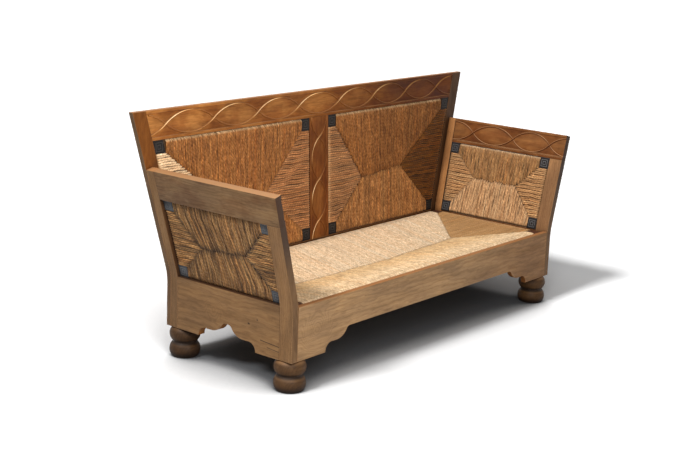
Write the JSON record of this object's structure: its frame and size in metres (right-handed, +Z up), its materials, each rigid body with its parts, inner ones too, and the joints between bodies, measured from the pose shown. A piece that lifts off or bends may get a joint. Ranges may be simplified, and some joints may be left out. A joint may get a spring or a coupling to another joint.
{
  "type": "sofa bench",
  "caption": "Low oak sofa bench with flared arms, a raked carved back, rush panels, a loose rush seat and turned bun feet.",
  "frame": {"origin": "on the floor, at the centre of the whole bench's bounding box", "axes": "+X along the length, to the right of one who looks at the front; +Y from the front to the back; +Z up"},
  "size_m": [1.9062, 0.6279, 0.879],
  "materials": {
    "oak_frame": "worn waxed oak, greyish brown",
    "oak_back": "waxed carved oak, warm brown",
    "plain_wood": "unfinished inner wood",
    "rush": "woven rush, matt straw",
    "blackened_blocks": "blackened wood, satin",
    "screws": "plain steel"
  },
  "bodies": {
    "frame": {"arm_panel_left_blocks": "blackened_blocks", "arm_panel_left_rail_bottom": "plain_wood", "arm_panel_left_rail_front": "plain_wood", "arm_panel_left_rail_rear": "plain_wood", "arm_panel_left_rail_top": "plain_wood", "arm_panel_left_rush": "rush", "arm_panel_right_blocks": "blackened_blocks", "arm_panel_right_rail_bottom": "plain_wood", "arm_panel_right_rail_front": "plain_wood", "arm_panel_right_rail_rear": "plain_wood", "arm_panel_right_rail_top": "plain_wood", "arm_panel_right_rush": "rush", "arm_rail_left": "oak_frame", "arm_rail_right": "oak_frame", "back_muntin": "oak_back", "back_panel_left_blocks": "blackened_blocks", "back_panel_left_rail_bottom": "plain_wood", "back_panel_left_rail_inner": "plain_wood", "back_panel_left_rail_outer": "plain_wood", "back_panel_left_rail_top": "plain_wood", "back_panel_left_rush": "rush", "back_panel_right_blocks": "blackened_blocks", "back_panel_right_rail_bottom": "plain_wood", "back_panel_right_rail_inner": "plain_wood", "back_panel_right_rail_outer": "plain_wood", "back_panel_right_rail_top": "plain_wood", "back_panel_right_rush": "rush", "back_stile_left": "oak_frame", "back_stile_right": "oak_frame", "back_top_rail": "oak_back", "base_block_front_left": "plain_wood", "base_block_front_right": "plain_wood", "base_block_rear_left": "plain_wood", "base_block_rear_right": "plain_wood", "cleat_screws": "screws", "end_apron_left": "oak_frame", "end_apron_right": "oak_frame", "foot_front_left": "oak_frame", "foot_front_right": "oak_frame", "foot_rear_left": "oak_frame", "foot_rear_right": "oak_frame", "front_post_left": "oak_frame", "front_post_right": "oak_frame", "front_rail": "oak_frame", "panel_dowels": "plain_wood", "rear_post_left": "oak_frame", "rear_post_right": "oak_frame", "rear_rail": "oak_frame", "seat_bearer": "plain_wood", "seat_cleat_front": "plain_wood", "seat_cleat_left": "plain_wood", "seat_cleat_rear": "plain_wood", "seat_cleat_right": "plain_wood"},
    "seat": {"seat_blocks": "blackened_blocks", "seat_rail_front": "plain_wood", "seat_rail_left": "plain_wood", "seat_rail_rear": "plain_wood", "seat_rail_right": "plain_wood", "seat_rush": "rush"}
  },
  "joints": [
    {"name": "seat_lift", "type": "slide", "parent": "frame", "child": "seat", "axis": [0, 0, 1], "range_m": [0, 0.15]}
  ]
}
